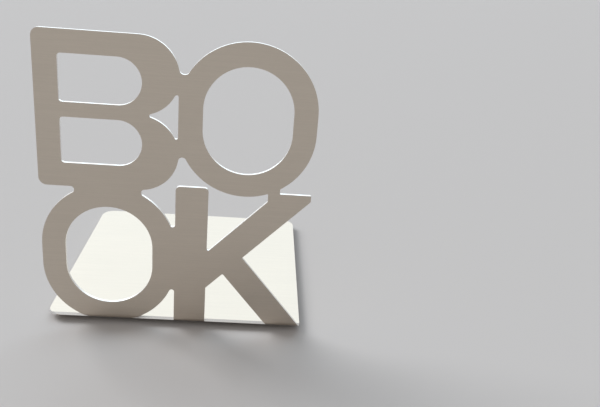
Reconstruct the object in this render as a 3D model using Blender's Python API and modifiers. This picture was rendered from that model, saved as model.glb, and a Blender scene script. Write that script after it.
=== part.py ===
"""Bookend cut from one steel sheet and bent once, on four stick-on foam pads.

The upright is the word BOOK in plain capitals, B and O above O and K, which grow into
each other. The lower O, the stem of the K and its leg run through the bend into the base.

Metres. X runs along the front, Y from the letters' front face to the back, Z up. The
origin is on the ground, under the middle of the footprint.
"""
import math

import bmesh
import bpy
from mathutils import Matrix, Vector

# Sheet
SHEET_THICKNESS = 0.0015
BEND_INSIDE_RADIUS = 0.0015
BEND_OUTSIDE_RADIUS = BEND_INSIDE_RADIUS + SHEET_THICKNESS
BEND_SPLIT_ANGLE = math.radians(45)

# Base
BASE_WIDTH = 0.1338
BASE_DEPTH = 0.1360
FRONT_LEFT_RADIUS = 0.0062
FRONT_RIGHT_RADIUS = 0.0024
BACK_RADIUS = 0.0078
HOLE_DIAMETER = 0.0060
HOLE_FROM_BACK = 0.0103

# Letters, measured from the left edge and from the top face of the base
LETTERS_HEIGHT = 0.1501
COLUMN_SPLIT_SHARE = 0.502
ROW_SPLIT_SHARE = 0.490
LETTER_BELOW_BASE = 0.0080

# B
B_STEM = 0.0113
B_TOP_BAR = 0.0110
B_MIDDLE_BAR = 0.0073
B_BOTTOM_BAR = 0.0121
B_BOWL_STROKE = 0.0175
B_CORNER_RADIUS = 0.0040
B_COUNTER_RADIUS = 0.0017
B_INTO_O = 0.0004

# Both Os
O_STROKE = 0.0116
O_OVERSHOOT = 0.0003
LOWER_O_INTO_B = 0.0015
LOWER_O_INTO_K = 0.0003
LOWER_O_BELOW_BASE = 0.0024

# K
K_STEM = 0.0162
K_STEM_RISE = 0.0030
K_STEM_RADIUS = 0.0022
K_LEFT_OF_SPLIT = 0.0007
K_ARM = 0.0145
K_ARM_RISE = 0.0020
K_LEG = 0.0137
K_CROTCH_SHARES = (0.512, 0.515)
K_ARM_TIP_SHARE = 0.956
K_LEG_FOOT_SHARE = 0.985
K_TIP_RADIUS = 0.0004

# Tab between the upper O and the arm of the K
TAB_WIDTH = 0.0058
TAB_PLACE_SHARE = 0.680
TAB_RADIUS = 0.0004

# Rounding that the cutting beam leaves where two letters meet
NOTCH_B_O_ABOVE = 0.0026
NOTCH_B_O_BELOW = 0.0020
NOTCH_B_LOWER_O = 0.0018
NOTCH_O_K = 0.0013
NOTCH_WAIST = 0.0009
NOTCH_K_ARM = 0.0008
NOTCH_K_CROTCH = 0.0006

# Pads, each a foam disc on a disc of adhesive film, stuck on by hand
PAD_DIAMETER = 0.0160
PAD_THICKNESS = 0.0018
PAD_EDGE_RADIUS = 0.0003
FILM_INSET = 0.0002
FILM_DIAMETER = PAD_DIAMETER - 2 * FILM_INSET
FILM_THICKNESS = 0.0002
SEAT_GAP = 0.0003
FRONT_LEFT_PAD_FROM_SIDE = 0.0178
FRONT_LEFT_PAD_FROM_END = 0.0196
FRONT_RIGHT_PAD_FROM_SIDE = 0.0192
FRONT_RIGHT_PAD_FROM_END = 0.0208
BACK_LEFT_PAD_FROM_SIDE = 0.0202
BACK_LEFT_PAD_FROM_END = 0.0139
BACK_RIGHT_PAD_FROM_SIDE = 0.0144
BACK_RIGHT_PAD_FROM_END = 0.0222

# Making
ARC_TOLERANCE = 0.00001
DISC_SIDES = 72
PAD_EDGE_STEPS = 3
SAME_POINT = 0.000001
CUTTER_OVERRUN = 0.0060

# Heights
PAD_TOP = PAD_THICKNESS
FILM_BOTTOM = PAD_TOP + SEAT_GAP
FILM_TOP = FILM_BOTTOM + FILM_THICKNESS
SHEET_BOTTOM = FILM_TOP + SEAT_GAP
BASE_TOP = SHEET_BOTTOM + SHEET_THICKNESS
LEFT = -BASE_WIDTH / 2
FRONT = -BASE_DEPTH / 2


# Outlines. A point of an outline is a complex number: across + up * 1j.

class Straight:
    """A straight edge of an outline, travelled from start towards end."""

    def __init__(self, start, end):
        self.start = start
        self.way = (end - start) / abs(end - start)

    def moved_left(self, distance):
        start = self.start + self.way * 1j * distance
        return Straight(start, start + self.way)

    def way_at(self, point):
        return self.way

    def nearest(self, point):
        return self.start + self.way * ((point - self.start) / self.way).real


class Round:
    """A round edge of an outline. Its radius is positive where it is travelled anticlockwise."""

    def __init__(self, centre, radius):
        self.centre = centre
        self.radius = radius

    def moved_left(self, distance):
        return Round(self.centre, self.radius - distance)

    def way_at(self, point):
        outward = (point - self.centre) / self.radius
        return outward / abs(outward) * 1j

    def nearest(self, point):
        outward = point - self.centre
        return self.centre + outward / abs(outward) * abs(self.radius)


def crossings(first, second):
    """The points where two edges cross, each taken as long as it needs to be."""
    if isinstance(first, Round) and isinstance(second, Straight):
        first, second = second, first
    if isinstance(first, Straight) and isinstance(second, Straight):
        gap = (second.start - first.start) / first.way
        slope = second.way / first.way
        return [first.start + first.way * (gap.real - gap.imag * slope.real / slope.imag)]
    if isinstance(first, Straight):
        foot = first.nearest(second.centre)
        half_chord = math.sqrt(second.radius ** 2 - abs(foot - second.centre) ** 2)
        return [foot + first.way * half_chord, foot - first.way * half_chord]
    span = second.centre - first.centre
    along = (abs(span) ** 2 + first.radius ** 2 - second.radius ** 2) / (2 * abs(span))
    across = math.sqrt(first.radius ** 2 - along ** 2)
    middle = first.centre + span / abs(span) * along
    aside = span / abs(span) * 1j * across
    return [middle + aside, middle - aside]


def turning_point(first, second, side):
    """The crossing at which a path along first turns to the left (1) or right (-1) into second."""
    def left_turn(point):
        return (second.way_at(point) / first.way_at(point)).imag

    return max(crossings(first, second), key=lambda point: side * left_turn(point))


def arc_points(centre, start, end, side):
    """Points of an arc after its start, up to and with its end, anticlockwise for side 1."""
    turn = (end - centre) / (start - centre)
    sweep = side * math.atan2(turn.imag, turn.real) % math.tau
    if math.tau - sweep < SAME_POINT:
        sweep = 0.0
    step = 2 * math.acos(1 - ARC_TOLERANCE / abs(start - centre))
    count = max(1, math.ceil(sweep / step))
    angles = [side * sweep * index / count for index in range(1, count + 1)]
    return [centre + (start - centre) * complex(math.cos(angle), math.sin(angle)) for angle in angles]


def corner(first, second, radius):
    """Where a path leaves first, where it joins second, and the centre of the arc between.

    The radius is positive for a left turn and negative for a right turn. With none, two
    straight edges meet in a sharp corner, and a round edge joins its tangent smoothly.
    """
    if radius:
        side = math.copysign(1, radius)
        centre = turning_point(first.moved_left(radius), second.moved_left(radius), side)
        return first.nearest(centre), second.nearest(centre), centre
    if isinstance(first, Round):
        point = second.nearest(first.centre)
    elif isinstance(second, Round):
        point = first.nearest(second.centre)
    else:
        point = crossings(first, second)[0]
    return point, point, None


def outline(*runs):
    """Points of a closed path, from its edges in order and the radius of the corner after each."""
    edges = list(runs[0::2])
    radii = list(runs[1::2])
    corners = [corner(edge, following, radius)
               for edge, following, radius in zip(edges, edges[1:] + edges[:1], radii)]
    points = []
    for index, edge in enumerate(edges):
        joined = corners[index - 1][1]
        left, onward, centre = corners[index]
        if isinstance(edge, Round):
            points += arc_points(edge.centre, joined, left, math.copysign(1, edge.radius))
        else:
            points.append(left)
        if centre is not None:
            points += arc_points(centre, left, onward, math.copysign(1, radii[index]))
    return [point for index, point in enumerate(points) if abs(point - points[index - 1]) > SAME_POINT]


def upward(x):
    return Straight(complex(x, 0), complex(x, 1))


def downward(x):
    return Straight(complex(x, 1), complex(x, 0))


def rightward(z):
    return Straight(complex(0, z), complex(1, z))


def leftward(z):
    return Straight(complex(1, z), complex(0, z))


def rectangle(left, bottom, right, top, radii=(0, 0, 0, 0)):
    """A rectangle, anticlockwise, with radii for its corners from the lower right one on."""
    return outline(rightward(bottom), radii[0], upward(right), radii[1],
                   leftward(top), radii[2], downward(left), radii[3])


def disc(centre, radius):
    """A whole circle as two arcs."""
    return (arc_points(centre, centre - radius, centre + radius, 1)
            + arc_points(centre, centre + radius, centre - radius, 1))


class Oval:
    """An O: four equal rounds, which meet on its shorter sides, and straight sides between them."""

    def __init__(self, left, bottom, right, top, side=1):
        radius = min(right - left, top - bottom) / 2
        self.upper_left = Round(complex(left + radius, top - radius), side * radius)
        self.upper_right = Round(complex(right - radius, top - radius), side * radius)
        self.lower_left = Round(complex(left + radius, bottom + radius), side * radius)
        self.lower_right = Round(complex(right - radius, bottom + radius), side * radius)


def oval_window(left, bottom, right, top):
    """The window of an O."""
    oval = Oval(left, bottom, right, top, -1)
    return outline(oval.upper_left, 0, rightward(top), 0, oval.upper_right, 0, downward(right), 0,
                   oval.lower_right, 0, leftward(bottom), 0, oval.lower_left, 0, upward(left), 0)


def counter_window(left, bottom, right, top):
    """The window in a bowl of the B: square towards the stem, half-round on the other side."""
    radius = (top - bottom) / 2
    end = Round(complex(right - radius, bottom + radius), -radius)
    return outline(upward(left), -B_COUNTER_RADIUS, rightward(top), 0,
                   end, 0, leftward(bottom), -B_COUNTER_RADIUS)


def letter_outlines():
    """The outer path of the letter plate and of each of its seven windows."""
    split = BASE_WIDTH * COLUMN_SPLIT_SHARE
    row = LETTERS_HEIGHT * ROW_SPLIT_SHARE
    feet = rightward(-LETTER_BELOW_BASE)

    # B, whose two bowls are half circles that meet at its waist
    b_right = split + B_INTO_O
    bowl_radius = (LETTERS_HEIGHT - row) / 4
    upper_bowl = Round(complex(b_right - bowl_radius, LETTERS_HEIGHT - bowl_radius), bowl_radius)
    lower_bowl = Round(complex(b_right - bowl_radius, row + bowl_radius), bowl_radius)
    counter_height = (LETTERS_HEIGHT - row - B_TOP_BAR - B_MIDDLE_BAR - B_BOTTOM_BAR) / 2
    counter_right = b_right - B_BOWL_STROKE
    lower_counter = row + B_BOTTOM_BAR
    upper_counter = lower_counter + counter_height + B_MIDDLE_BAR

    # Upper O
    upper_o_foot = row - O_OVERSHOOT
    upper_o = Oval(split, upper_o_foot, BASE_WIDTH, LETTERS_HEIGHT)

    # Lower O
    k_left = split - K_LEFT_OF_SPLIT
    lower_o_right = k_left + LOWER_O_INTO_K
    lower_o_top = row + LOWER_O_INTO_B
    lower_o = Oval(0, -LOWER_O_BELOW_BASE, lower_o_right, lower_o_top)

    # K, whose leg springs from the lower edge of its arm
    k_width = BASE_WIDTH - k_left
    k_stem_right = k_left + K_STEM
    arm_top = row + K_ARM_RISE
    crotch = complex(k_left + k_width * K_CROTCH_SHARES[0], arm_top * K_CROTCH_SHARES[1])
    arm_tip = complex(BASE_WIDTH, arm_top * K_ARM_TIP_SHARE)
    leg_foot = complex(k_left + k_width * K_LEG_FOOT_SHARE, 0)
    arm_under = Straight(crotch, arm_tip)
    arm_over = Straight(arm_tip, crotch).moved_left(-K_ARM)
    leg_right = Straight(leg_foot, crotch)
    leg_left = Straight(crotch, leg_foot).moved_left(-K_LEG)
    stem_right = upward(k_stem_right)

    # Tab
    tab_left = k_left + k_width * TAB_PLACE_SHARE
    tab_right = tab_left + TAB_WIDTH

    outer = outline(
        downward(0), B_CORNER_RADIUS, rightward(row), -NOTCH_B_LOWER_O,
        lower_o.upper_left, 0, downward(0), 0, lower_o.lower_left, 0,
        rightward(-LOWER_O_BELOW_BASE), 0, lower_o.lower_right, -NOTCH_O_K,
        downward(k_left), 0, feet, 0, stem_right, -NOTCH_K_CROTCH,
        arm_under, -NOTCH_K_CROTCH, leg_left, 0, feet, 0, upward(leg_foot.real), 0,
        leg_right, -NOTCH_K_CROTCH, arm_under, K_TIP_RADIUS, upward(BASE_WIDTH), K_TIP_RADIUS,
        leftward(arm_top), -TAB_RADIUS, upward(tab_right), -TAB_RADIUS,
        upper_o.lower_right, 0, upward(BASE_WIDTH), 0, upper_o.upper_right, 0,
        leftward(LETTERS_HEIGHT), 0, upper_o.upper_left, -NOTCH_B_O_ABOVE,
        upper_bowl, 0, leftward(LETTERS_HEIGHT), B_CORNER_RADIUS)
    waist_window = outline(
        upper_bowl, -NOTCH_WAIST, downward(split), -NOTCH_WAIST, lower_bowl, -NOTCH_WAIST)
    middle_window = outline(
        upper_o.lower_left, 0, rightward(upper_o_foot), 0, upper_o.lower_right, -TAB_RADIUS,
        downward(tab_left), -TAB_RADIUS, arm_over, -NOTCH_K_ARM,
        stem_right, K_STEM_RADIUS, leftward(row + K_STEM_RISE), K_STEM_RADIUS,
        downward(k_left), -NOTCH_O_K, lower_o.upper_right, -NOTCH_B_LOWER_O,
        lower_bowl, -NOTCH_B_O_BELOW)
    return [
        outer,
        waist_window,
        middle_window,
        counter_window(B_STEM, lower_counter, counter_right, lower_counter + counter_height),
        counter_window(B_STEM, upper_counter, counter_right, upper_counter + counter_height),
        oval_window(split + O_STROKE, upper_o_foot + O_STROKE,
                       BASE_WIDTH - O_STROKE, LETTERS_HEIGHT - O_STROKE),
        oval_window(O_STROKE, O_STROKE - LOWER_O_BELOW_BASE,
                       lower_o_right - O_STROKE, lower_o_top - O_STROKE),
    ]


def base_outlines():
    """The base seen from above, and its hanging hole."""
    corners = (FRONT_RIGHT_RADIUS, BACK_RADIUS, BACK_RADIUS, FRONT_LEFT_RADIUS)
    hole = complex(BASE_WIDTH / 2, BASE_DEPTH - HOLE_FROM_BACK)
    return [rectangle(0, 0, BASE_WIDTH, BASE_DEPTH, corners), disc(hole, HOLE_DIAMETER / 2)]


def frame_around(width, height, below):
    """A rectangle that stands clear of an outline all round, for a cutter to start from."""
    return rectangle(-CUTTER_OVERRUN, -below, width + CUTTER_OVERRUN, height + CUTTER_OVERRUN)


# Objects

def clear_scene():
    for old in list(bpy.data.objects):
        bpy.data.objects.remove(old)


def new_collection(name):
    collection = bpy.data.collections.new(name)
    bpy.context.scene.collection.children.link(collection)
    return collection


def new_material(name, color, roughness, metallic):
    material = bpy.data.materials.new(name)
    material.use_nodes = True
    shader = material.node_tree.nodes["Principled BSDF"]
    shader.inputs["Base Color"].default_value = (*color, 1)
    shader.inputs["Roughness"].default_value = roughness
    shader.inputs["Metallic"].default_value = metallic
    return material


def move_to(obj, collection):
    for old in list(obj.users_collection):
        old.objects.unlink(obj)
    collection.objects.link(obj)


def extruded(name, outlines, thickness, collection):
    """A mesh object made from a filled 2D curve, extruded half its thickness each way."""
    curve = bpy.data.curves.new(name, "CURVE")
    curve.dimensions = "2D"
    curve.fill_mode = "BOTH"
    curve.extrude = thickness / 2
    for points in outlines:
        spline = curve.splines.new("POLY")
        spline.points.add(len(points) - 1)
        for place, point in zip(spline.points, points):
            place.co = (point.real, point.imag, 0, 1)
        spline.use_cyclic_u = True
    drawn = bpy.data.objects.new(name + "_curve", curve)
    collection.objects.link(drawn)
    evaluated = drawn.evaluated_get(bpy.context.evaluated_depsgraph_get())
    mesh = bpy.data.meshes.new_from_object(evaluated)
    bpy.data.objects.remove(drawn)
    work = bmesh.new()
    work.from_mesh(mesh)
    bmesh.ops.remove_doubles(work, verts=work.verts, dist=SAME_POINT)
    bmesh.ops.recalc_face_normals(work, faces=work.faces)
    work.to_mesh(mesh)
    work.free()
    obj = bpy.data.objects.new(name, mesh)
    collection.objects.link(obj)
    return obj


def cut(target, cutter):
    """Takes the cutter out of the target, and marks it as a cutter."""
    modifier = target.modifiers.new("Cut " + cutter.name, "BOOLEAN")
    modifier.operation = "DIFFERENCE"
    modifier.solver = "EXACT"
    modifier.object = cutter
    cutter.hide_render = True
    cutter.display_type = "WIRE"


def smooth_round_faces(obj):
    obj.data.shade_smooth()
    obj.data.set_sharp_from_angle(angle=math.radians(30))


def bend_side(name, towards_base, collection):
    """A box on one side of the plane that splits the bend along its length."""
    size = 2 * (BASE_DEPTH + LETTERS_HEIGHT)
    bpy.ops.mesh.primitive_cube_add(size=size)
    box = bpy.context.object
    box.name = name
    across = Vector((0, math.sin(BEND_SPLIT_ANGLE), -math.cos(BEND_SPLIT_ANGLE)))
    axis = Vector((0, FRONT + BEND_OUTSIDE_RADIUS, SHEET_BOTTOM + BEND_OUTSIDE_RADIUS))
    box.location = axis + across * (size / 2 if towards_base else -size / 2)
    box.rotation_euler = (BEND_SPLIT_ANGLE, 0, 0)
    move_to(box, collection)
    return box


def letter_waste(collection):
    """What is cut away around and between the letters, as far as the middle of the bend."""
    frame = frame_around(BASE_WIDTH, LETTERS_HEIGHT, LETTER_BELOW_BASE + CUTTER_OVERRUN)
    reach = CUTTER_OVERRUN + BEND_OUTSIDE_RADIUS
    waste = extruded("letter_waste", [frame] + letter_outlines(), reach, collection)
    waste.location = (LEFT, FRONT + BEND_OUTSIDE_RADIUS - reach / 2, BASE_TOP)
    waste.rotation_euler = (math.radians(90), 0, 0)
    cut(waste, bend_side("base_side", True, collection))
    return waste


def base_waste(collection):
    """What is cut away around the base and in its hanging hole, as far as the middle of the bend."""
    frame = frame_around(BASE_WIDTH, BASE_DEPTH, CUTTER_OVERRUN)
    reach = CUTTER_OVERRUN + BEND_OUTSIDE_RADIUS
    waste = extruded("base_waste", [frame] + base_outlines(), reach, collection)
    waste.location = (LEFT, FRONT, SHEET_BOTTOM + BEND_OUTSIDE_RADIUS - reach / 2)
    cut(waste, bend_side("letter_side", False, collection))
    return waste


def build_sheet(parts, cutters, material):
    """A bent blank, a little oversize, cut to the letters in front and to the base below."""
    margin = CUTTER_OVERRUN / 2
    section = outline(
        rightward(0), 0, upward(BASE_DEPTH + margin), 0,
        leftward(SHEET_THICKNESS), -BEND_INSIDE_RADIUS, upward(SHEET_THICKNESS), 0,
        leftward(SHEET_THICKNESS + LETTERS_HEIGHT + margin), 0, downward(0), BEND_OUTSIDE_RADIUS)
    sheet = extruded("bent_sheet", [section], BASE_WIDTH + 2 * margin, parts)
    stand_up = Matrix(((0, 0, 1), (1, 0, 0), (0, 1, 0))).to_4x4()
    sheet.data.transform(stand_up)
    sheet.location = (0, FRONT, SHEET_BOTTOM)
    cut(sheet, letter_waste(cutters))
    cut(sheet, base_waste(cutters))
    sheet.data.materials.append(material)
    smooth_round_faces(sheet)
    return sheet


def build_disc(name, place, bottom, diameter, thickness, material, collection):
    bpy.ops.mesh.primitive_cylinder_add(vertices=DISC_SIDES, radius=diameter / 2, depth=thickness)
    obj = bpy.context.object
    obj.name = name
    obj.location = (place[0], place[1], bottom + thickness / 2)
    obj.data.materials.append(material)
    smooth_round_faces(obj)
    move_to(obj, collection)
    return obj


def build_pad(corner_name, inset, foam, film, collection):
    """A foam disc and the adhesive film that holds it to the underside of the base."""
    from_side, from_end = inset
    across = LEFT + from_side if corner_name.endswith("left") else -LEFT - from_side
    along = FRONT + from_end if corner_name.startswith("front") else -FRONT - from_end
    place = (across, along)
    pad = build_disc("pad_" + corner_name, place, 0, PAD_DIAMETER, PAD_THICKNESS, foam, collection)
    rounding = pad.modifiers.new("Rounded rim", "BEVEL")
    rounding.width = PAD_EDGE_RADIUS
    rounding.segments = PAD_EDGE_STEPS
    adhesive = build_disc("film_" + corner_name, place, FILM_BOTTOM, FILM_DIAMETER, FILM_THICKNESS,
                          film, collection)
    return [pad, adhesive]


def build_bookend():
    clear_scene()
    parts = new_collection("bookend")
    cutters = new_collection("cutters")
    steel = new_material("satin_steel", (0.62, 0.59, 0.55), 0.35, 1.0)
    foam = new_material("black_foam", (0.02, 0.02, 0.02), 0.9, 0.0)
    film = new_material("adhesive_film", (0.75, 0.74, 0.70), 0.4, 0.0)
    pieces = [build_sheet(parts, cutters, steel)]
    insets = {
        "front_left": (FRONT_LEFT_PAD_FROM_SIDE, FRONT_LEFT_PAD_FROM_END),
        "front_right": (FRONT_RIGHT_PAD_FROM_SIDE, FRONT_RIGHT_PAD_FROM_END),
        "back_left": (BACK_LEFT_PAD_FROM_SIDE, BACK_LEFT_PAD_FROM_END),
        "back_right": (BACK_RIGHT_PAD_FROM_SIDE, BACK_RIGHT_PAD_FROM_END),
    }
    for corner_name, inset in insets.items():
        pieces += build_pad(corner_name, inset, foam, film, parts)
    whole = bpy.data.objects.new("bookend", None)
    parts.objects.link(whole)
    for piece in pieces:
        piece.parent = whole


build_bookend()
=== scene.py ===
"""Looks of a bookend that is cut from one satin steel sheet and bent once.

The sheet keeps its CAD shape, with the fine rounding that deburring leaves on its cut
edges. The foam pads and their adhesive films are built anew, with die-cut rims.
"""
import math

import bmesh
import bpy
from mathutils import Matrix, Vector


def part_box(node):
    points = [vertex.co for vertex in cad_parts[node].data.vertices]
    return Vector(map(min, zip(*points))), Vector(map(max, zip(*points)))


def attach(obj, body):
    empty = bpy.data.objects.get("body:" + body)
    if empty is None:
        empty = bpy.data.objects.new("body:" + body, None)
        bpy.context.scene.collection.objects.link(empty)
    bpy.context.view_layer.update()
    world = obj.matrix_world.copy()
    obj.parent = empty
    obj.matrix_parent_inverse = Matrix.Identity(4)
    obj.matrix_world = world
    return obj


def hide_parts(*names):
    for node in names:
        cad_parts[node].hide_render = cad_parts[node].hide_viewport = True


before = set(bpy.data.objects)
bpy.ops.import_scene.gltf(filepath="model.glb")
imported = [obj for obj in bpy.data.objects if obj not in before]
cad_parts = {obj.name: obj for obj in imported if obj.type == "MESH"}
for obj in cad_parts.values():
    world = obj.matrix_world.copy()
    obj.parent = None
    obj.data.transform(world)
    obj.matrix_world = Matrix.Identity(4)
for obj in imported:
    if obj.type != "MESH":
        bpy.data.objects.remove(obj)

bl_info = {
    "name": "Bent sheet bookend",
    "version": (1, 0, 0),
    "blender": (4, 5, 0),
    "location": "3D View > Sidebar > Bookend",
    "description": "Builds the dressed pieces of a bent sheet bookend and its studio",
    "category": "Object",
}

MM = 0.001
RIGHT_ANGLE = math.radians(90)
CREASE = math.radians(30)

# The sheet. Its box comes from the CAD, and its thickness and bend are as there.
SHEET_LOW, SHEET_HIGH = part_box("bent_sheet")
SHEET_THICKNESS = 1.5 * MM
BEND_OUTSIDE_RADIUS = 3.0 * MM
BEND_SPLIT_ANGLE = math.radians(45)
SAME_POINT = 0.002 * MM
FLAT_WITHIN = math.radians(0.3)
CUT_FACE_LIMIT = 0.6
NEARLY_UPRIGHT = 0.9
FACE_SLOT, LETTER_EDGE_SLOT, BASE_EDGE_SLOT = range(3)
CORNER_STEPS = 12
CORNER_OVERRUN = 1 * MM
ROUNDING_SEGMENTS = 2

# The discs under the base.
DISCS = ("front_left", "front_right", "back_left", "back_right")
DISC_SIDES = 96
RIM_STEPS = 6
SIDE_STEPS = 8
FOAM_BELOW_FILM = 0.04 * MM
FILM_BELOW_SHEET = 0.02 * MM
FILM_EDGE = 0.05 * MM

# Sizes of the marks on the surfaces, along X, Y and Z where there are three.
FINE_GRAIN_SHARE = 0.45
STREAK_SIZE = (38 * MM, 0.8 * MM, 0.8 * MM)
HAZE_SIZE = (34 * MM, 30 * MM, 32 * MM)
RUB_SIZE = (9 * MM, 5 * MM, 7 * MM)
CUT_LINE_LENGTH = 1.6 * MM
DRAG_SHARE = 0.5
BURN_SIZE = 9 * MM
SKIN_SIZE = 1.8 * MM
DUST_SIZE = 0.35 * MM
FILM_CLOUD_SIZE = 1.2 * MM

# The stage. The floor lies a hair below the pads, so that the two never coincide.
FLOOR_BELOW_PADS = 0.05 * MM
UNMIRRORED_BEHIND_FRONT = 4.5 * MM
IMAGE_WIDTH = 600
SENSOR_WIDTH = 36
NEAREST_SEEN = 0.01
SUN_DIRECTIONS = {
    "side_sun": (-0.80, 0.50, 0.62), "back_sun": (-0.05, 1.00, 0.62), "front_sun": (-0.75, -0.60, 0.45)}
SUN_ANGLES = {
    "side_sun": math.radians(34), "back_sun": math.radians(70), "front_sun": math.radians(60)}


# Sizes and colours

class SheetLook(bpy.types.PropertyGroup):
    """Finish of the steel sheet."""

    steel: bpy.props.FloatVectorProperty(
        name="Steel", description="Colour of the satin faces",
        default=(0.62, 0.55, 0.468), size=3, min=0, max=1, subtype="COLOR")
    # The cut edges are bare steel. Their pale colour is also a painted highlight, which lightens every edge
    # into a bright line.
    cut_steel_and_highlight: bpy.props.FloatVectorProperty(
        name="Cut steel", description="Colour of the edges that the laser cut",
        default=(0.88, 0.87, 0.85), size=3, min=0, max=1, subtype="COLOR")
    roughness: bpy.props.FloatProperty(
        name="Roughness", description="Mean roughness of the satin faces",
        default=0.34, min=0, max=1, subtype="FACTOR")
    grain_width: bpy.props.FloatProperty(
        name="Grain width", description="Width of one line of the satin grain",
        default=0.11 * MM, min=0.02 * MM, max=2 * MM, unit="LENGTH", precision=5)
    grain_length: bpy.props.FloatProperty(
        name="Grain length", description="Length of one line of the satin grain",
        default=2.6 * MM, min=0.1 * MM, max=50 * MM, unit="LENGTH", precision=4)
    cut_line_width: bpy.props.FloatProperty(
        name="Cut line width", description="Width of one line that the laser leaves on a cut edge",
        default=0.16 * MM, min=0.02 * MM, max=2 * MM, unit="LENGTH", precision=5)
    edge_rounding: bpy.props.FloatProperty(
        name="Edge rounding", description="Width of the deburred rounding along every cut edge",
        default=0.20 * MM, min=0.02 * MM, max=0.6 * MM, unit="LENGTH", precision=5)
    corner_radius: bpy.props.FloatProperty(
        name="Corner radius", description="Rounding of the front left corner of the base",
        default=6.8 * MM, min=1 * MM, max=9 * MM, unit="LENGTH", precision=4)


class PadLook(bpy.types.PropertyGroup):
    """Sizes and colours of the pads and films under the base."""

    foam: bpy.props.FloatVectorProperty(
        name="Foam", description="Colour of the closed-cell foam",
        default=(0.018, 0.018, 0.019), size=3, min=0, max=1, subtype="COLOR")
    film: bpy.props.FloatVectorProperty(
        name="Film", description="Colour of the adhesive film",
        default=(0.72, 0.71, 0.67), size=3, min=0, max=1, subtype="COLOR")
    cell_size: bpy.props.FloatProperty(
        name="Cell size", description="Mean size of the cells of the foam",
        default=0.22 * MM, min=0.05 * MM, max=1 * MM, unit="LENGTH", precision=5)
    rim_rounding: bpy.props.FloatProperty(
        name="Rim rounding", description="Rounding of the pad's lower rim",
        default=0.45 * MM, min=0.1 * MM, max=0.8 * MM, unit="LENGTH", precision=5)
    waist: bpy.props.FloatProperty(
        name="Waist", description="How far the die-cut side of the foam draws in at half its height",
        default=0.12 * MM, min=0, max=0.5 * MM, unit="LENGTH", precision=5)


class StageLook(bpy.types.PropertyGroup):
    """Floor, surroundings, suns and camera."""

    floor: bpy.props.FloatVectorProperty(
        name="Floor", description="Colour of the floor",
        default=(0.592, 0.567, 0.555), size=3, min=0, max=1, subtype="COLOR")
    floor_size: bpy.props.FloatProperty(
        name="Floor size", description="Length of each side of the floor",
        default=60.0, min=1, max=200, unit="LENGTH")
    world: bpy.props.FloatVectorProperty(
        name="Surroundings", description="Colour of the studio around the object",
        default=(0.580, 0.577, 0.574), size=3, min=0, max=1, subtype="COLOR")
    world_light: bpy.props.FloatProperty(
        name="Surrounding light", description="Share of the studio's brightness that lights the object",
        default=0.62, min=0, max=5)
    side_sun: bpy.props.FloatProperty(
        name="Side sun", description="Strength of the soft light from the left and behind",
        default=2.15, min=0, max=10)
    side_color: bpy.props.FloatVectorProperty(
        name="Side sun colour", description="Colour of the soft light from the left and behind",
        default=(0.96, 0.98, 1.0), size=3, min=0, max=1, subtype="COLOR")
    back_sun: bpy.props.FloatProperty(
        name="Back sun", description="Strength of the broad light behind, which the base mirrors",
        default=1.29, min=0, max=10)
    back_color: bpy.props.FloatVectorProperty(
        name="Back sun colour", description="Colour of the broad light behind",
        default=(0.74, 0.89, 1.0), size=3, min=0, max=1, subtype="COLOR")
    front_sun: bpy.props.FloatProperty(
        name="Front sun", description="Strength of the weak, broad light from the left and in front",
        default=0.30, min=0, max=10)
    front_color: bpy.props.FloatVectorProperty(
        name="Front sun colour", description="Colour of the weak light from the left and in front",
        default=(1.0, 1.0, 1.0), size=3, min=0, max=1, subtype="COLOR")
    place: bpy.props.FloatVectorProperty(
        name="Camera place", description="Place of the camera",
        default=(0.03899, -0.38473, 0.20912), size=3, subtype="TRANSLATION", unit="LENGTH")
    turn: bpy.props.FloatVectorProperty(
        name="Camera turn", description="Rotation of the camera",
        default=tuple(math.radians(angle) for angle in (69.468, -4.519, -2.174)), size=3,
        subtype="EULER")
    focal_pixels: bpy.props.FloatProperty(
        name="Focal length in pixels", description="Focal length in pixels of the 600 pixel wide view",
        default=685.5, min=100, max=5000)
    rise_pixels: bpy.props.FloatProperty(
        name="Rise in pixels", description="How far the view is shifted down from the camera's axis",
        default=28.5, min=-200, max=200)


# Shader nodes

class Value:
    """A shader socket that takes part in arithmetic and adds the Math nodes for it."""

    def __init__(self, graph, socket):
        self.graph = graph
        self.socket = socket

    def _with(self, operation, first, second):
        return self.graph.node("ShaderNodeMath", {"operation": operation}, {0: first, 1: second})

    def __add__(self, other):
        return self._with("ADD", self, other)

    def __radd__(self, other):
        return self._with("ADD", other, self)

    def __sub__(self, other):
        return self._with("SUBTRACT", self, other)

    def __rsub__(self, other):
        return self._with("SUBTRACT", other, self)

    def __mul__(self, other):
        return self._with("MULTIPLY", self, other)

    def __rmul__(self, other):
        return self._with("MULTIPLY", other, self)

    def __lt__(self, other):
        return self._with("LESS_THAN", self, other)


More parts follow.
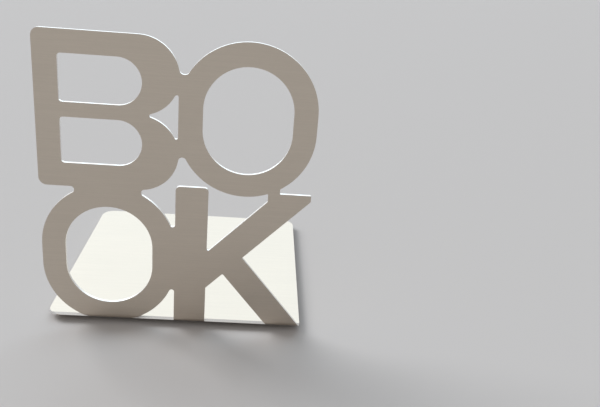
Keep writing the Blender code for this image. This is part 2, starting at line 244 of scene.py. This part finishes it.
class Graph:
    """The node tree of one material or world."""

    def __init__(self, owner):
        owner.use_nodes = True
        self.tree = owner.node_tree
        self.tree.nodes.clear()

    def add(self, kind, settings=None, values=None):
        """Adds a node, first its settings and then its values and links, and gives it back."""
        node = self.tree.nodes.new(kind)
        for name, setting in (settings or {}).items():
            if name == "stops":
                for element, (position, grey) in zip(node.color_ramp.elements, setting):
                    element.position = position
                    element.color = (grey, grey, grey, 1)
            else:
                setattr(node, name, setting)
        for name, value in (values or {}).items():
            if isinstance(value, Value):
                self.tree.links.new(value.socket, node.inputs[name])
            else:
                node.inputs[name].default_value = value
        return node

    def node(self, kind, settings=None, values=None, output=0):
        """Adds a node and gives back one of its outputs."""
        return Value(self, self.add(kind, settings, values).outputs[output])

    def noise(self, size, detail, roughness):
        """Noise whose marks have the given sizes along X, Y and Z."""
        return self.node("ShaderNodeTexNoise", None, {
            "Vector": self.stretched(size), "Scale": 1.0, "Detail": detail, "Roughness": roughness})

    def rise(self, value, low, high):
        """A mask that is 0 up to the low value and 1 from the high value on."""
        return self.node("ShaderNodeValToRGB", {"stops": ((low, 0.0), (high, 1.0))}, {"Fac": value})

    def stretched(self, size):
        """Object coordinates in units of the given sizes along X, Y and Z."""
        place = self.node("ShaderNodeTexCoord", output="Object")
        scale = tuple(1 / length for length in size)
        return self.node("ShaderNodeVectorMath", {"operation": "MULTIPLY"}, {0: place, 1: scale})

    def blend(self, first, second, factor):
        """A colour between two others."""
        return self.node("ShaderNodeMix", {"data_type": "RGBA"}, {0: factor, 6: first, 7: second}, 2)

    def bump(self, height, distance, strength, under=None):
        """A normal that follows a height, on top of another normal where one is given."""
        values = {"Height": height, "Distance": distance, "Strength": strength}
        if under is not None:
            values["Normal"] = under
        return self.node("ShaderNodeBump", None, values)

    def finish(self, surface, kind="ShaderNodeOutputMaterial"):
        """Adds the output node."""
        self.add(kind, None, {"Surface": surface})


def toned(color, factor):
    """A colour made lighter or darker, with an alpha of 1."""
    return tuple(min(1.0, channel * factor) for channel in color) + (1.0,)


def satin_steel(look):
    """Satin steel, whose grain runs along X."""
    material = bpy.data.materials.new("satin_steel")
    graph = Graph(material)
    grain = (look.grain_length, look.grain_width, look.grain_width)
    lines = graph.noise(grain, detail=3.0, roughness=0.55)
    fine = graph.noise([FINE_GRAIN_SHARE * length for length in grain], detail=2.0, roughness=0.6)
    streaks = graph.noise(STREAK_SIZE, detail=3.0, roughness=0.6)
    patches = graph.noise(HAZE_SIZE, detail=2.0, roughness=0.5)
    haze = graph.rise(patches, 0.25, 0.75)
    rubs = graph.rise(graph.noise(RUB_SIZE, detail=5.0, roughness=0.65), 0.60, 0.74)
    grainy = 0.65 * lines + 0.35 * fine
    tone = graph.blend(toned(look.steel, 0.985), toned(look.steel, 1.02), haze)
    tone = graph.blend(tone, toned(look.steel, 0.93), 0.5 * (1 - graph.rise(streaks, 0.40, 0.60)))
    tone = graph.blend(tone, toned(look.steel, 0.86), 0.28 * (1 - graph.rise(grainy, 0.38, 0.56)))
    # The marks add about 0.09 on average, so that comes off the mean first.
    roughness = look.roughness - 0.09 + 0.02 * haze + 0.05 * streaks + 0.12 * grainy - 0.02 * rubs
    normal = graph.bump(grainy, distance=0.012 * MM, strength=0.55)
    normal = graph.bump(patches, distance=0.30 * MM, strength=0.02, under=normal)
    graph.finish(graph.node("ShaderNodeBsdfPrincipled", None, {
        "Base Color": tone, "Metallic": 1.0, "Roughness": roughness, "Normal": normal}))
    return material


def cut_edge(look, name, across):
    """A laser-cut edge, whose lines run across the sheet's thickness, along the axis that is named. Its pale
    colour is partly bare steel and partly a painted highlight.
    """
    size = [look.cut_line_width] * 3
    size["XYZ".index(across)] = CUT_LINE_LENGTH
    material = bpy.data.materials.new(name)
    graph = Graph(material)
    lines = graph.noise(size, detail=2.0, roughness=0.5)
    drag = graph.noise([DRAG_SHARE * length for length in reversed(size)], detail=2.0, roughness=0.5)
    burn = graph.rise(graph.noise([BURN_SIZE] * 3, detail=2.0, roughness=0.5), 0.45, 0.75)
    burnt_steel = tuple(look.cut_steel_and_highlight[0] * part for part in (0.80, 0.72, 0.60))
    # The tone starts from the pale cut-edge colour, which is partly a painted highlight along the edge.
    tone = graph.blend(
        toned(look.cut_steel_and_highlight, 0.88), toned(look.cut_steel_and_highlight, 1.06), graph.rise(lines, 0.35, 0.65))
    tone = graph.blend(tone, toned(burnt_steel, 1.0), 0.25 * burn)
    normal = graph.bump(lines, distance=0.03 * MM, strength=0.8)
    normal = graph.bump(drag, distance=0.01 * MM, strength=0.4, under=normal)
    graph.finish(graph.node("ShaderNodeBsdfPrincipled", None, {
        "Base Color": tone, "Metallic": 1.0, "Roughness": 0.30 + 0.16 * lines, "Normal": normal}))
    return material


def closed_cell_foam(look):
    """Black foam with open cells where it is cut, a soft skin and a little dust."""
    material = bpy.data.materials.new("black_foam")
    graph = Graph(material)
    cells = graph.node("ShaderNodeTexVoronoi", {"feature": "F1"}, {
        "Vector": graph.stretched([look.cell_size] * 3), "Scale": 1.0})
    skin = graph.noise([SKIN_SIZE] * 3, detail=4.0, roughness=0.6)
    dust = graph.rise(graph.noise([DUST_SIZE] * 3, detail=3.0, roughness=0.7), 0.62, 0.78)
    tone = graph.blend(toned(look.foam, 0.8), toned(look.foam, 1.9), skin)
    tone = graph.blend(tone, toned(look.foam, 5.0), 0.30 * dust)
    normal = graph.bump(cells, distance=0.06 * MM, strength=0.7)
    normal = graph.bump(skin, distance=0.10 * MM, strength=0.35, under=normal)
    graph.finish(graph.node("ShaderNodeBsdfPrincipled", None, {
        "Base Color": tone, "Roughness": 0.72 + 0.2 * cells, "Specular IOR Level": 0.4,
        "Normal": normal}))
    return material


def adhesive_film(look):
    """The pale, slightly clouded film between a pad and the sheet."""
    material = bpy.data.materials.new("adhesive_film")
    graph = Graph(material)
    clouds = graph.noise([FILM_CLOUD_SIZE] * 3, detail=3.0, roughness=0.6)
    tone = graph.blend(toned(look.film, 0.9), toned(look.film, 1.1), clouds)
    graph.finish(graph.node("ShaderNodeBsdfPrincipled", None, {
        "Base Color": tone, "Roughness": 0.30 + 0.2 * clouds,
        "Normal": graph.bump(clouds, distance=0.03 * MM, strength=0.5)}))
    return material


# Pieces

def link(name, data):
    """Adds an object with the given mesh, lamp or camera to the scene."""
    obj = bpy.data.objects.new(name, data)
    bpy.context.scene.collection.objects.link(obj)
    return obj


def mesh_of(work, name):
    """Turns a bmesh into a mesh and frees it."""
    mesh = bpy.data.meshes.new(name)
    work.to_mesh(mesh)
    work.free()
    return mesh


def join_rings(work, lower, upper):
    """Adds the faces between two closed rings of points."""
    for index in range(len(lower)):
        onward = (index + 1) % len(lower)
        work.faces.new((lower[index], lower[onward], upper[onward], upper[index]))


def through_direction(centre):
    """The direction through the thickness of the bent sheet at a point of it."""
    bend = Vector((0, SHEET_LOW.y + BEND_OUTSIDE_RADIUS, SHEET_LOW.z + BEND_OUTSIDE_RADIUS))
    if centre.z > bend.z:
        return Vector((0, 1, 0))
    if centre.y > bend.y:
        return Vector((0, 0, 1))
    return Vector((0, centre.y - bend.y, centre.z - bend.z)).normalized()


def corner_waste(radius):
    """The cutter that rounds the sharp end of the base's front edge, beside the lower O."""
    left = SHEET_LOW.x
    front = SHEET_LOW.y + BEND_OUTSIDE_RADIUS * (1 - math.sin(BEND_SPLIT_ANGLE))
    outline = [(left, front + radius), (left - CORNER_OVERRUN, front + radius),
               (left - CORNER_OVERRUN, front - CORNER_OVERRUN), (left + radius, front - CORNER_OVERRUN)]
    for step in range(CORNER_STEPS):
        angle = RIGHT_ANGLE * step / CORNER_STEPS
        outline.append((left + radius - radius * math.sin(angle), front + radius - radius * math.cos(angle)))
    work = bmesh.new()
    lower, upper = ([work.verts.new((x, y, height)) for x, y in outline] for height in (
        SHEET_LOW.z - CORNER_OVERRUN, SHEET_LOW.z + SHEET_THICKNESS + CORNER_OVERRUN))
    work.faces.new(lower)
    work.faces.new(upper)
    join_rings(work, lower, upper)
    bmesh.ops.recalc_face_normals(work, faces=work.faces)
    return link("corner_waste", mesh_of(work, "corner_waste"))


def rounded_sheet(look):
    """A copy of the CAD sheet's mesh with the front left corner of the base rounded off."""
    sheet = link("sheet_copy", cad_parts["bent_sheet"].data.copy())
    waste = corner_waste(look.corner_radius)
    cut = sheet.modifiers.new("Corner", "BOOLEAN")
    cut.operation = "DIFFERENCE"
    cut.solver = "EXACT"
    cut.object = waste
    evaluated = sheet.evaluated_get(bpy.context.evaluated_depsgraph_get())
    mesh = bpy.data.meshes.new_from_object(evaluated)
    bpy.data.objects.remove(sheet)
    bpy.data.objects.remove(waste)
    return mesh


def dress_sheet(look):
    """The bent sheet with its flat faces made whole again and its cut edges deburred."""
    work = bmesh.new()
    work.from_mesh(rounded_sheet(look))
    bmesh.ops.remove_doubles(work, verts=work.verts, dist=SAME_POINT)
    bmesh.ops.dissolve_limit(work, angle_limit=FLAT_WITHIN, verts=work.verts, edges=work.edges)
    for face in work.faces:
        direction = through_direction(face.calc_center_median())
        face.smooth = True
        face.material_index = FACE_SLOT
        if abs(face.normal.dot(direction)) < CUT_FACE_LIMIT:
            face.material_index = BASE_EDGE_SLOT if direction.z > NEARLY_UPRIGHT else LETTER_EDGE_SLOT
    for edge in work.edges:
        edge.smooth = edge.calc_face_angle(0) < CREASE
    sheet = link("steel_sheet", mesh_of(work, "steel_sheet"))
    sheet.data.materials.append(satin_steel(look))
    sheet.data.materials.append(cut_edge(look, "cut_edge_of_letters", "Y"))
    sheet.data.materials.append(cut_edge(look, "cut_edge_of_base", "Z"))
    rounding = sheet.modifiers.new("Deburred edges", "BEVEL")
    rounding.width = look.edge_rounding
    rounding.segments = ROUNDING_SEGMENTS
    rounding.limit_method = "ANGLE"
    rounding.angle_limit = CREASE
    rounding.use_clamp_overlap = True
    rounding.harden_normals = True
    # The rounding takes the pale cut-edge material, so a painted highlight runs along every edge.
    rounding.material = LETTER_EDGE_SLOT
    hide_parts("bent_sheet")
    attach(sheet, "root")


def turned(name, profile, centre):
    """A closed round piece, turned from a profile of (radius, height) from its foot to its top."""
    angles = [math.tau * step / DISC_SIDES for step in range(DISC_SIDES)]
    work = bmesh.new()
    rings = [[work.verts.new((
        centre.x + radius * math.cos(angle), centre.y + radius * math.sin(angle), height))
        for angle in angles] for radius, height in profile]
    for lower, upper in zip(rings, rings[1:]):
        join_rings(work, lower, upper)
    work.faces.new(rings[0][::-1])
    work.faces.new(rings[-1])
    mesh = mesh_of(work, name)
    mesh.shade_smooth()
    mesh.set_sharp_from_angle(angle=CREASE)
    return link(name, mesh)


def pad_profile(look, radius, top):
    """The side of a foam disc: a soft lower rim, a side drawn in a little, and a crisp upper rim."""
    rim = look.rim_rounding
    profile = [(0.35 * radius, 0.0), (0.75 * radius, 0.0)]
    for step in range(RIM_STEPS + 1):
        angle = RIGHT_ANGLE * step / RIM_STEPS
        profile.append((radius - rim + rim * math.sin(angle), rim - rim * math.cos(angle)))
    for step in range(1, SIDE_STEPS):
        share = step / SIDE_STEPS
        profile.append((radius - look.waist * math.sin(math.pi * share), rim + (top - rim) * share))
    profile.append((radius - 0.03 * MM, top - 0.06 * MM))
    profile.append((radius - 0.10 * MM, top))
    return profile


def dress_pads(look):
    """The four foam discs, each carried up to its film."""
    foam = closed_cell_foam(look)
    for corner in DISCS:
        low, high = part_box("pad_" + corner)
        film_low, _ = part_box("film_" + corner)
        profile = pad_profile(look, (high.x - low.x) / 2, film_low.z - FOAM_BELOW_FILM)
        pad = turned("foam_pad_" + corner, profile, (low + high) / 2)
        pad.data.materials.append(foam)
        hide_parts("pad_" + corner)
        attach(pad, "root")


def dress_films(look):
    """The four discs of adhesive film, each carried up to the sheet."""
    film = adhesive_film(look)
    top = SHEET_LOW.z - FILM_BELOW_SHEET
    for corner in DISCS:
        low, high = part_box("film_" + corner)
        radius = (high.x - low.x) / 2
        profile = [(radius - FILM_EDGE, low.z), (radius, low.z + FILM_EDGE),
                   (radius, top - FILM_EDGE), (radius - FILM_EDGE, top)]
        disc = turned("adhesive_film_" + corner, profile, (low + high) / 2)
        disc.data.materials.append(film)
        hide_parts("film_" + corner)
        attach(disc, "root")


# Stage

def floor_paint(look, name, mirrored):
    """Plain paint, clear from below. Where it isn't mirrored, what mirrors it shows the studio instead."""
    material = bpy.data.materials.new(name)
    graph = Graph(material)
    paint = graph.node("ShaderNodeBsdfPrincipled", None, {
        "Base Color": toned(look.floor, 1.0), "Roughness": 0.9, "Specular IOR Level": 0.1})
    clear = graph.node("ShaderNodeBsdfTransparent")
    passed = graph.node("ShaderNodeNewGeometry", output="Backfacing")
    if not mirrored:
        paths = graph.add("ShaderNodeLightPath")
        glossy, diffuse_depth = (
            Value(graph, paths.outputs[name]) for name in ("Is Glossy Ray", "Diffuse Depth"))
        passed = passed + glossy * (diffuse_depth < 1)
    graph.finish(graph.node("ShaderNodeMixShader", None, {0: passed, 1: paint, 2: clear}))
    return material


def build_floor(look):
    """A plain floor. Below the base it isn't mirrored, so that the underside shows the studio."""
    half = look.floor_size / 2
    work = bmesh.new()
    rings = []
    for left, front, right, back in (
            (-half, -half, half, half),
            (SHEET_LOW.x, SHEET_LOW.y + UNMIRRORED_BEHIND_FRONT, SHEET_HIGH.x, SHEET_HIGH.y)):
        corners = ((left, front), (right, front), (right, back), (left, back))
        rings.append([work.verts.new((x, y, -FLOOR_BELOW_PADS)) for x, y in corners])
    join_rings(work, *rings)
    work.faces.new(rings[1]).material_index = 1
    floor = link("floor", mesh_of(work, "floor"))
    floor.data.materials.append(floor_paint(look, "floor", mirrored=True))
    floor.data.materials.append(floor_paint(look, "floor_below_base", mirrored=False))


def build_world(look):
    """The studio around the object, dimmer as a light than as it is seen and mirrored."""
    world = bpy.data.worlds.new("studio")
    bpy.context.scene.world = world
    graph = Graph(world)
    lit, seen = (
        graph.node("ShaderNodeBackground", None, {"Color": toned(look.world, 1.0), "Strength": strength})
        for strength in (look.world_light, 1.0))
    paths = graph.add("ShaderNodeLightPath")
    camera, glossy, transmission = (
        Value(graph, paths.outputs[name])
        for name in ("Is Camera Ray", "Is Glossy Ray", "Is Transmission Ray"))
    graph.finish(graph.node("ShaderNodeMixShader", None, {
        0: camera + glossy + transmission, 1: lit, 2: seen}), "ShaderNodeOutputWorld")


def add_sun(name, strength, color):
    """A large, soft light that comes from a direction."""
    data = bpy.data.lights.new(name, "SUN")
    data.energy = strength
    data.angle = SUN_ANGLES[name]
    data.color = color
    lamp = link(name, data)
    lamp.rotation_euler = Vector(SUN_DIRECTIONS[name]).to_track_quat("Z", "Y").to_euler()


def build_camera(look):
    """The camera, as the photograph was taken."""
    data = bpy.data.cameras.new("camera")
    data.sensor_width = SENSOR_WIDTH
    data.lens = look.focal_pixels / IMAGE_WIDTH * SENSOR_WIDTH
    data.shift_y = -look.rise_pixels / IMAGE_WIDTH
    data.clip_start = NEAREST_SEEN
    camera = link("camera", data)
    camera.location = look.place
    camera.rotation_euler = look.turn
    bpy.context.scene.camera = camera


def build_stage(look):
    """The floor, the surroundings, the three suns and the camera."""
    bpy.context.scene.view_settings.view_transform = "Standard"
    build_floor(look)
    build_world(look)
    add_sun("side_sun", look.side_sun, look.side_color)
    add_sun("back_sun", look.back_sun, look.back_color)
    add_sun("front_sun", look.front_sun, look.front_color)
    build_camera(look)


# Operators

class BOOKEND_OT_sheet(bpy.types.Operator):
    """Dress the bent steel sheet"""

    bl_idname = "bookend.sheet"
    bl_label = "Dress the Sheet"

    def execute(self, context):
        dress_sheet(context.scene.bookend_sheet)
        return {"FINISHED"}


class BOOKEND_OT_pads(bpy.types.Operator):
    """Build the four foam pads"""

    bl_idname = "bookend.pads"
    bl_label = "Build the Pads"

    def execute(self, context):
        dress_pads(context.scene.bookend_pads)
        return {"FINISHED"}


class BOOKEND_OT_films(bpy.types.Operator):
    """Build the four adhesive films"""

    bl_idname = "bookend.films"
    bl_label = "Build the Films"

    def execute(self, context):
        dress_films(context.scene.bookend_pads)
        return {"FINISHED"}


class BOOKEND_OT_stage(bpy.types.Operator):
    """Build the floor, the surroundings, the suns and the camera"""

    bl_idname = "bookend.stage"
    bl_label = "Build the Stage"

    def execute(self, context):
        build_stage(context.scene.bookend_stage)
        return {"FINISHED"}


class BOOKEND_PT_panel(bpy.types.Panel):
    """Sizes, colours and operators of the bookend"""

    bl_label = "Bookend"
    bl_idname = "BOOKEND_PT_panel"
    bl_space_type = "VIEW_3D"
    bl_region_type = "UI"
    bl_category = "Bookend"

    def draw(self, context):
        scene = context.scene
        groups = ((scene.bookend_sheet, ("bookend.sheet",)),
                  (scene.bookend_pads, ("bookend.pads", "bookend.films")),
                  (scene.bookend_stage, ("bookend.stage",)))
        for look, operators in groups:
            box = self.layout.box()
            for name in look.__annotations__:
                box.prop(look, name)
            for operator in operators:
                box.operator(operator)


LOOKS = {"bookend_sheet": SheetLook, "bookend_pads": PadLook, "bookend_stage": StageLook}
CLASSES = (*LOOKS.values(), BOOKEND_OT_sheet, BOOKEND_OT_pads, BOOKEND_OT_films, BOOKEND_OT_stage,
           BOOKEND_PT_panel)


def register():
    for entry in CLASSES:
        bpy.utils.register_class(entry)
    for name, look in LOOKS.items():
        setattr(bpy.types.Scene, name, bpy.props.PointerProperty(type=look))


def unregister():
    for name in LOOKS:
        delattr(bpy.types.Scene, name)
    for entry in reversed(CLASSES):
        bpy.utils.unregister_class(entry)


def main():
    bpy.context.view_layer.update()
    register()
    bpy.ops.bookend.sheet()
    bpy.ops.bookend.pads()
    bpy.ops.bookend.films()
    bpy.ops.bookend.stage()


if __name__ == "__main__":
    main()
